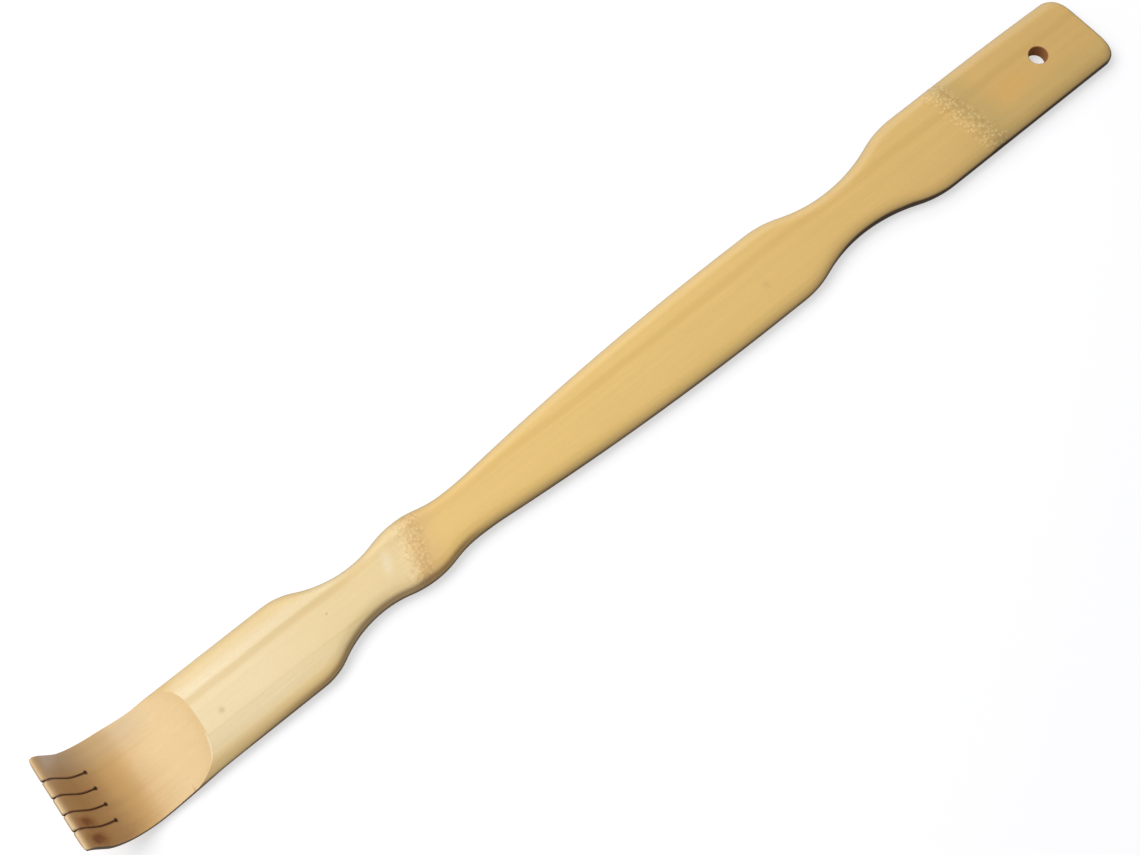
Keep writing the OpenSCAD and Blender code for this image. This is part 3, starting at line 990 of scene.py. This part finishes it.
    def face_height(self):
        """Height of the upper face of the claw, with its rounding and its camber"""
        size = self.plan.size
        flat, middle = mm(size.head / 2 - size.upper_round_w), mm(size.thickness / 2)
        across = (abs(self.y) - flat).at_least(0.0) * (1 / mm(size.upper_round_w))
        top = mm(size.thickness - size.upper_round_h)
        top = top + mm(size.upper_round_h) * (1 - across * across).root()
        away = abs(self.y) * (1 / mm(size.camber_at))
        return top - away * away * away * (top - middle) * (mm(size.camber) / middle)

    def heat(self, colour):
        """The scooped claw, browner towards the tips, where it was heated"""
        tone = self.tone
        s = self.x - mm(self.plan.bend_x) - self.y * self.plan.slant
        floor = self.scoop_floor(s)
        inside = self.smooth(self.z - floor, self.smooth(s, -2, 4) * 1.1 - 1.2, -0.03)
        warm = s + self.clouds * 7 + self.bands * 6
        shoulder = self.smooth(self.y, 11, 13) * self.fade(s + self.clouds * 4, 19, 23)
        colour = self.mix(inside.at_least(shoulder * 0.8), colour, tone.honey)
        hot = 0.55 + inside * 0.45
        colour = self.mix(self.smooth(warm, 11, -10) * hot, colour, tone.toast_and_shade)
        browned = self.smooth(warm - self.smooth(self.y, -4, -14) * 4, -9, -22)
        colour = self.mix(browned * hot * 0.85, colour, tone.brown)
        # Painted sheen on the left side of the bend
        bend_sheen_mask = self.smooth(self.y, 5, 14) * self.smooth(warm, 14, 2) * inside
        colour = self.mix(bend_sheen_mask * 0.35, colour, tone.bend_sheen)
        colour = self.painted_scoop_edge(colour, self.face_height() - floor, inside)
        return self.finger_ends(self.saw_cuts(self.scorch_marks(colour, s, inside), s), s)

    def painted_scoop_edge(self, colour, depth, inside):
        """Painted shade in a band inside the scoop's edge, and a painted highlight along its right side"""
        # Painted shade in a band inside the scoop's edge
        colour = self.mix(self.fade(depth, 0.1, 1.3) * inside * 0.25, colour, self.tone.toast_and_shade)
        # Painted highlight along the right part of the scoop's edge
        line = self.fade(abs(depth - 0.08), 0.03, 0.22)
        line = line * self.smooth(self.bands * 4 - self.y, 4, 8) * self.smooth(self.y, -14.5, -11.5)
        return self.mix(line * inside * 0.6, colour, self.tone.scoop_edge_highlight)

    def scorch_marks(self, colour, s, inside):
        """Two ragged scorch marks on the fingers"""
        ragged = self.grain(self.place, 300, 460, 300, 3, 2.9)
        scorch = self.blot((s + 35.0) * 0.34 + ragged, self.y + 8.0 + ragged * 2.5, 2.2, 1.7)
        scorch = scorch + self.blot((s + 33.4) * 0.36 - ragged, self.y + 14.2 + ragged * 2.5, 2.3, 1.7)
        scorch = scorch * inside
        colour = self.mix(scorch * 0.85, colour, self.tone.scorch)
        return self.mix(self.smooth(scorch + ragged, 0.6, 1.1) * 0.8, colour, self.tone.burn_and_shade)

    def saw_cuts(self, colour, s):
        """Burnt walls of the saw cuts and painted shade in the small holes at their roots"""
        size, root = self.plan.size, mm(self.plan.root)
        across, step = self.y + mm(size.slit_shift), mm(size.slit_pitch)
        from_cut = (across + step * 1.5).fold(step * 0.5)
        row = self.fade(abs(across), 10.4, 10.6)
        sawn = row * self.fade(s, root, root + 0.7)
        colour = self.mix(self.fade(from_cut, 0.25, 0.62) * sawn * 0.95, colour, self.tone.burn_and_shade)
        # Painted shade in the root holes
        return self.mix(self.blot(s - root, from_cut, 0.75, 0.3) * row * 0.9, colour, self.tone.root_hole_shade)

    def finger_ends(self, colour, s):
        """The paler rounded ends of the fingers, partly a painted highlight, and painted shade on their outer
        rims
        """
        tip = mm(self.plan.tip)
        # Paler end grain on the finger tips, partly a painted highlight on their rounded ends, weaker on the
        # left fingers
        ends = self.fade(self.z, 1.0, 2.2) * self.smooth(self.z, 0.1, 0.5)
        ends = ends * self.fade(s, tip + 0.8, tip + 2.4)
        colour = self.mix(ends * (0.7 - self.smooth(self.y, 0, 10) * 0.35), colour, self.tone.cut_end_and_highlight)
        # Painted shade along the outer rims of the tips
        painted_outline = self.fade(self.z, 0.2, 0.9) * self.fade(s, tip + 0.2, tip + 1.6)
        return self.mix(painted_outline * 0.8, colour, self.tone.edge)

    def hole_wall(self, colour):
        """The wall of the hanging hole"""
        plan, radius = self.plan, mm(self.plan.size.hole / 2)
        from_hole = self.far(self.x - mm(plan.x(plan.hole)), self.y - mm(plan.size.hole_side))
        return self.mix(self.fade(from_hole, radius + 0.05, radius + 0.45), colour, self.tone.bore)

    def sides(self, colour):
        """Browner cut sides with painted shade on their steep roundings, a painted sheen on the left of the
        slat, painted shade under the head's right edge and along the foot, and painted dark outlines. The
        colour comes back with a mask of the sides."""
        along, across, up = self.facing
        steep = (across * across if self.bent else 1 - up * up).root()
        side = self.add("ShaderNodeMapRange", {}, {"Value": steep, "From Min": 0.3, "From Max": 0.95})
        # The cut sides' own tone, with painted shade on the steep roundings
        colour = self.mix(side * 0.7, colour, self.tone.edge)
        # Painted sheen: a paler tone on the left rounding, past the head
        pale = self.smooth(across, 0.08, 0.5) * self.smooth(self.x, -100, -30)
        colour = self.mix(pale * 0.2, colour, self.tone.sheen)
        # Painted shade under the right edge of the head and neck
        right = self.smooth(across, -0.32, -0.58)
        under = right * self.fade(steep, 0.6, 0.88) * self.fade(self.x, -78, -62)
        colour = self.mix(under * self.smooth(self.x, -180, -125) * 0.5, colour, self.tone.burn_and_shade)
        # Painted shade along the foot of the sides, reaching higher along the tab's right side
        lift = right * self.smooth(self.x, 70, 105)
        foot = self.fade(self.z + self.bands * 1.5 - lift * 1.5, 2.6, 4.6)
        foot = foot * self.smooth(steep + lift * 0.12, 0.66, 0.94)
        # Painted dark outlines along the left side and the tab's end
        painted_outline = self.smooth(across, 0.68, 0.9) * 0.5
        if not self.bent:
            painted_outline = painted_outline + self.smooth(along, 0.35, 0.75) * self.smooth(self.x, 212, 220) * 0.7
        return self.mix(foot.at_least(painted_outline) * (0.8 + lift * 0.15), colour, self.tone.foot), side

    def finished(self):
        """The whole surface"""
        colour = self.tab_clouds(self.streaks(self.long_tone()))
        colour, band, pebbles = self.culm_rings(colour)
        colour = self.specks(colour)
        if self.bent:
            colour = self.heat(colour)
        colour, side = self.sides(colour)
        if not self.bent:
            colour = self.hole_wall(colour)
        shade = 1 + self.threads * 0.1 + self.bands * 0.08 + self.clouds * 0.05
        shade = shade + self.sand * 0.07 - self.bundles * 0.03
        relief = self.threads * 0.5 + self.bands * 0.6 + self.bundles * 0.25 + self.sand * 0.2 + pebbles
        rough = 0.38 + self.threads * 0.12 + self.sand * 0.08 + band * 0.1 + side * 0.4
        return self.close(self.dim(colour, shade), rough, relief)


def bamboo(name, bent):
    """The bamboo of straight or of bent pieces, made once"""
    return bpy.data.materials.get(name) or Bamboo(name, bent).finished()


def floor_finish(stage):
    """A pale floor that looks white to the camera and keeps its shadow"""
    f = Finish("pale_floor")
    seen = f.add("ShaderNodeLightPath", out=("Is Camera Ray", "Is Glossy Ray", "Is Transmission Ray"))
    matt = f.add("ShaderNodeBsdfDiffuse", {}, {"Color": linear(stage.floor)})
    glow = f.add("ShaderNodeEmission", {}, {"Color": (1, 1, 1, 1),
                                            "Strength": (seen[0] + seen[1] + seen[2]) * stage.lift})
    both = f.add("ShaderNodeAddShader", {}, {0: matt, 1: glow})
    f.add("ShaderNodeOutputMaterial", {}, {"Surface": both})
    return f.material


# Operators

class SCRATCHER_OT_palm(bpy.types.Operator):
    """Shape the flat palm and its neck"""
    bl_idname = "scratcher.palm"
    bl_label = "Palm"

    def execute(self, context):
        plan = Plan(context.scene.scratcher_sizes)
        stop = plan.lower_ring - plan.size.ring_length / 2
        piece = slat_length("palm_shaped", plan, spread(plan.size.scoop, stop, PALM_STEP))
        hand_over(piece, "palm", bamboo("split_bamboo", False))
        return {"FINISHED"}


class SCRATCHER_OT_rings(bpy.types.Operator):
    """Shape the two culm rings"""
    bl_idname = "scratcher.rings"
    bl_label = "Culm rings"

    def execute(self, context):
        plan = Plan(context.scene.scratcher_sizes)
        half = plan.size.ring_length / 2
        for node, middle in (("lower_culm_ring", plan.lower_ring), ("upper_culm_ring", plan.upper_ring)):
            piece = slat_length(node + "_raised", plan, spread(middle - half, middle + half, RING_STEP))
            hand_over(piece, node, bamboo("split_bamboo", False))
        return {"FINISHED"}


class SCRATCHER_OT_grip(bpy.types.Operator):
    """Shape the long grip and its waist"""
    bl_idname = "scratcher.grip"
    bl_label = "Grip"

    def execute(self, context):
        plan = Plan(context.scene.scratcher_sizes)
        half = plan.size.ring_length / 2
        places = spread(plan.lower_ring + half, plan.upper_ring - half, SLAT_STEP)
        piece = slat_length("grip_shaped", plan, places)
        hand_over(piece, "grip", bamboo("split_bamboo", False))
        return {"FINISHED"}


class SCRATCHER_OT_tab(bpy.types.Operator):
    """Shape the hanging tab and drill its hole"""
    bl_idname = "scratcher.tab"
    bl_label = "Hanging tab"

    def execute(self, context):
        plan = Plan(context.scene.scratcher_sizes)
        corner = plan.size.tab_corner
        places = spread(plan.tab_start, plan.end - corner, SLAT_STEP)
        places += [plan.end - corner * (1 - math.sin(a)) for a in quarter(END_TURN)[1:]]
        piece = slat_length("tab_drilled", plan, places)
        cut(piece, hole_cutter(plan))
        hand_over(piece, "hanging_tab", bamboo("split_bamboo", False))
        return {"FINISHED"}


class SCRATCHER_OT_claw(bpy.types.Operator):
    """Shape, scoop and bend the claw"""
    bl_idname = "scratcher.claw"
    bl_label = "Claw"

    def execute(self, context):
        plan = Plan(context.scene.scratcher_sizes)
        places = spread(plan.root, plan.size.scoop, CLAW_STEP)
        piece = shape("claw_bent", [plan.slat_section(s) for s in places])
        camber(piece, plan)
        cut(piece, scoop_cutter(plan))
        for number in range(1, plan.slit_count + 1):
            cut(piece, root_hole_cutter(plan, number))
        soften(piece, plan)
        roll_up(piece, plan)
        hand_over(piece, "claw", bamboo("heated_bamboo", True))
        return {"FINISHED"}


class SCRATCHER_OT_fingers(bpy.types.Operator):
    """Shape and bend the five fingers"""
    bl_idname = "scratcher.fingers"
    bl_label = "Fingers"

    def execute(self, context):
        plan = Plan(context.scene.scratcher_sizes)
        nose = max(plan.size.tip_nose_run, plan.size.tip_corner)
        hole = plan.size.slit_root
        places = [plan.root - hole * math.sin(a) for a in quarter(HOLE_TURN)[:-1]]
        places += spread(plan.root - hole, plan.tip + nose, FINGER_STEP)
        places += [plan.tip + nose * (1 - math.sin(a)) for a in quarter(END_TURN)[1:]]
        for number in range(1, plan.slit_count + 2):
            sections = [plan.finger_section(s, number) for s in places]
            piece = shape(f"finger_{number}_bent", sections, FINGER_ROUND_CUTS, FINGER_FLAT_CUTS)
            roll_up(piece, plan)
            hand_over(piece, f"finger_{number}", bamboo("heated_bamboo", True))
        return {"FINISHED"}


class SCRATCHER_OT_stage(bpy.types.Operator):
    """Lay the floor, hang the lamps and set up the camera"""
    bl_idname = "scratcher.stage"
    bl_label = "Stage"

    def execute(self, context):
        stage = context.scene.scratcher_stage
        bpy.ops.object.select_all(action="DESELECT")
        bpy.ops.mesh.primitive_plane_add(size=FLOOR_SIZE, location=(0, 0, -FLOOR_DROP))
        floor = context.object
        floor.name = "pale_floor"
        floor.data.materials.append(floor_finish(stage))

        for name, place, wide, deep, power in (
                ("key_lamp", stage.key_at, stage.key_size, stage.key_size, stage.key_power),
                ("strip_lamp", stage.strip_at, stage.strip_length, stage.strip_width, stage.strip_power)):
            bpy.ops.object.light_add(type="AREA", location=place)
            lamp = context.object
            lamp.name = name
            lamp.rotation_euler = (-Vector(place)).to_track_quat("-Z", "Y").to_euler()
            lamp.data.shape, lamp.data.size, lamp.data.size_y = "RECTANGLE", wide, deep
            lamp.data.energy = power

        world = bpy.data.worlds.new("even_sky")
        world.use_nodes = True
        sky = next(node for node in world.node_tree.nodes if node.type == "BACKGROUND")
        sky.inputs["Color"].default_value = (1, 1, 1, 1)
        sky.inputs["Strength"].default_value = stage.sky
        context.scene.world = world

        bpy.ops.object.camera_add(location=stage.camera_at)
        camera = context.object
        aim = Vector(stage.camera_to) - Vector(stage.camera_at)
        camera.rotation_euler = aim.to_track_quat("-Z", "Y").to_euler()
        camera.data.lens, camera.data.clip_start = stage.lens, NEAREST
        camera.data.sensor_width, camera.data.sensor_fit = FILM_WIDTH, "HORIZONTAL"
        context.scene.camera = camera
        context.scene.view_settings.view_transform = "Standard"
        return {"FINISHED"}


class SCRATCHER_PT_panel(bpy.types.Panel):
    """Sizes, colours and pieces of the scratcher"""
    bl_idname = "SCRATCHER_PT_panel"
    bl_label = "Back Scratcher"
    bl_space_type = "VIEW_3D"
    bl_region_type = "UI"
    bl_category = "Scratcher"

    def draw(self, context):
        for operator in OPERATORS:
            self.layout.operator(operator.bl_idname)
        for place in GROUPS:
            group = getattr(context.scene, place)
            box = self.layout.box()
            for name in group.__annotations__:
                box.prop(group, name)


OPERATORS = (SCRATCHER_OT_stage, SCRATCHER_OT_palm, SCRATCHER_OT_rings, SCRATCHER_OT_grip, SCRATCHER_OT_tab,
             SCRATCHER_OT_claw, SCRATCHER_OT_fingers)
GROUPS = {"scratcher_sizes": ScratcherSizes, "scratcher_colours": ScratcherColours,
          "scratcher_stage": ScratcherStage}
CLASSES = (*GROUPS.values(), *OPERATORS, SCRATCHER_PT_panel)


def register():
    for cls in CLASSES:
        bpy.utils.register_class(cls)
    for place, group in GROUPS.items():
        setattr(bpy.types.Scene, place, bpy.props.PointerProperty(type=group))


def unregister():
    for place in GROUPS:
        delattr(bpy.types.Scene, place)
    for cls in reversed(CLASSES):
        bpy.utils.unregister_class(cls)


def main():
    register()
    bpy.ops.scratcher.stage()
    bpy.ops.scratcher.palm()
    bpy.ops.scratcher.rings()
    bpy.ops.scratcher.grip()
    bpy.ops.scratcher.tab()
    bpy.ops.scratcher.claw()
    bpy.ops.scratcher.fingers()


if __name__ == "__main__":
    main()
